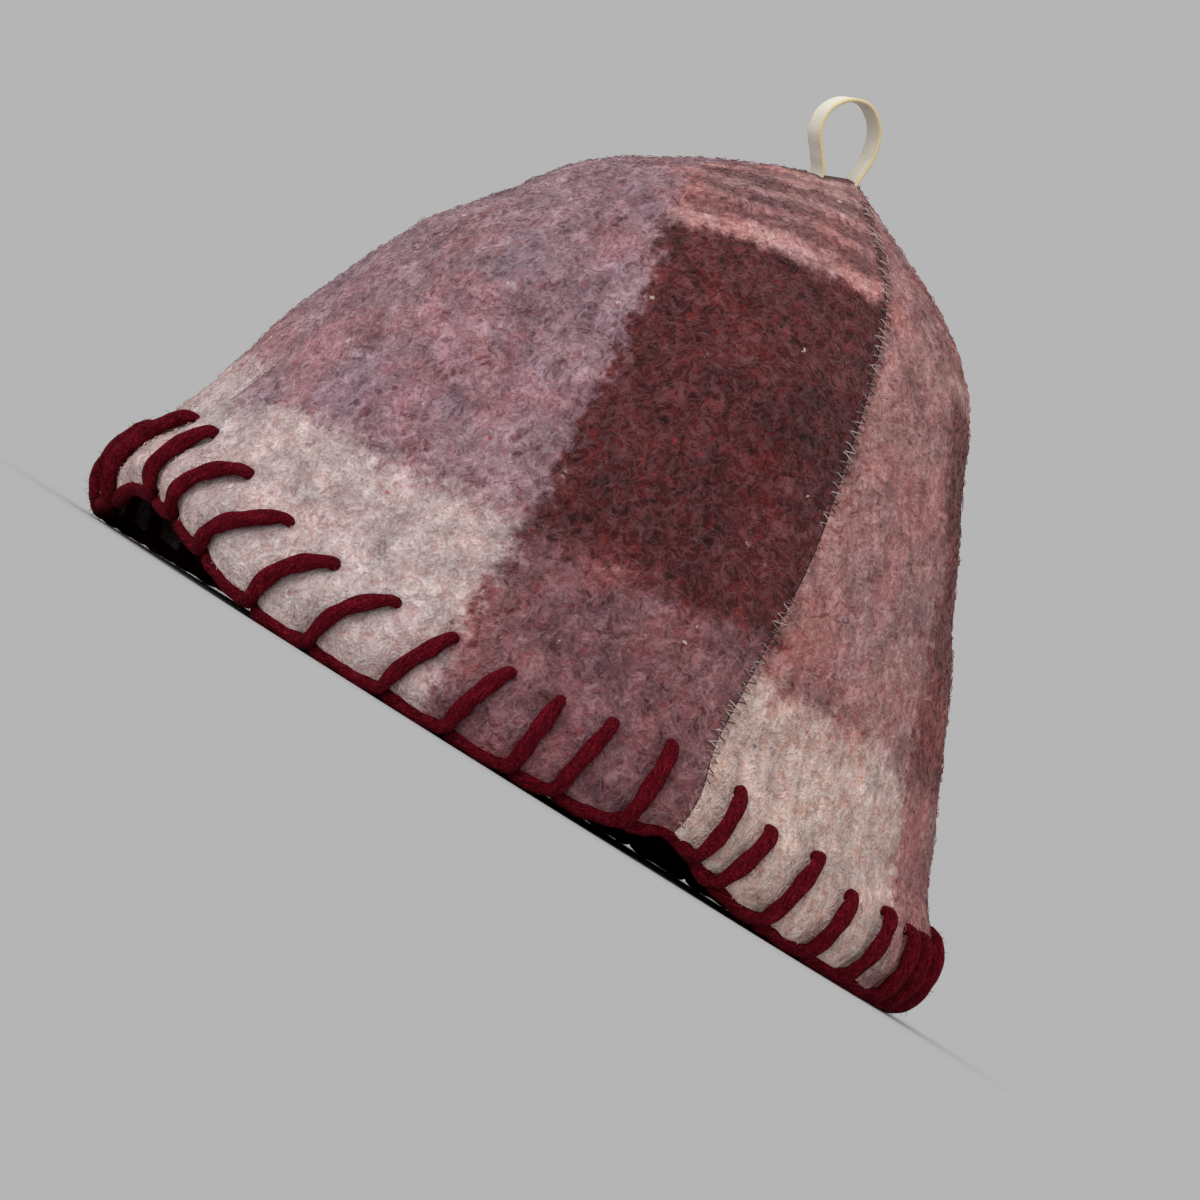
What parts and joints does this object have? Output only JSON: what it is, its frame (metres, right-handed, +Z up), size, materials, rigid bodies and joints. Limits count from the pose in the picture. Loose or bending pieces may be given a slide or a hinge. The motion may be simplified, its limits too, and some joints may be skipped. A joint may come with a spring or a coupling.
{
  "type": "sauna hat",
  "caption": "Bell-shaped felt sauna hat of gores sewn edge to edge, open underneath, with a thick blanket-stitched yarn brim and a cotton tape hanging loop at the crown.",
  "frame": {"origin": "middle of the hat's bounding box, on the surface that the brim stands on", "axes": "+Z up through the crown, -Y towards the front of the hat, +X towards the wearer's left"},
  "size_m": [0.2353, 0.3274, 0.2536],
  "materials": {
    "felt_left": "matte milled wool felt, plaid in pale pink, mauve and maroon",
    "felt_back": "matte milled wool felt, plaid in pale pink, warm pink and maroon",
    "felt_right": "matte milled wool felt, plaid in pale pink, mauve and maroon",
    "felt_front": "matte milled wool felt, plaid in pale pink, mauve and maroon",
    "yarn": "matte burgundy wool yarn, plied",
    "tape": "matte cream cotton twill tape"
  },
  "bodies": {
    "root": {"gore_left": "felt_left", "gore_back": "felt_back", "gore_right": "felt_right", "gore_front": "felt_front", "brim_yarn": "yarn", "hanging_loop": "tape"}
  },
  "joints": []
}
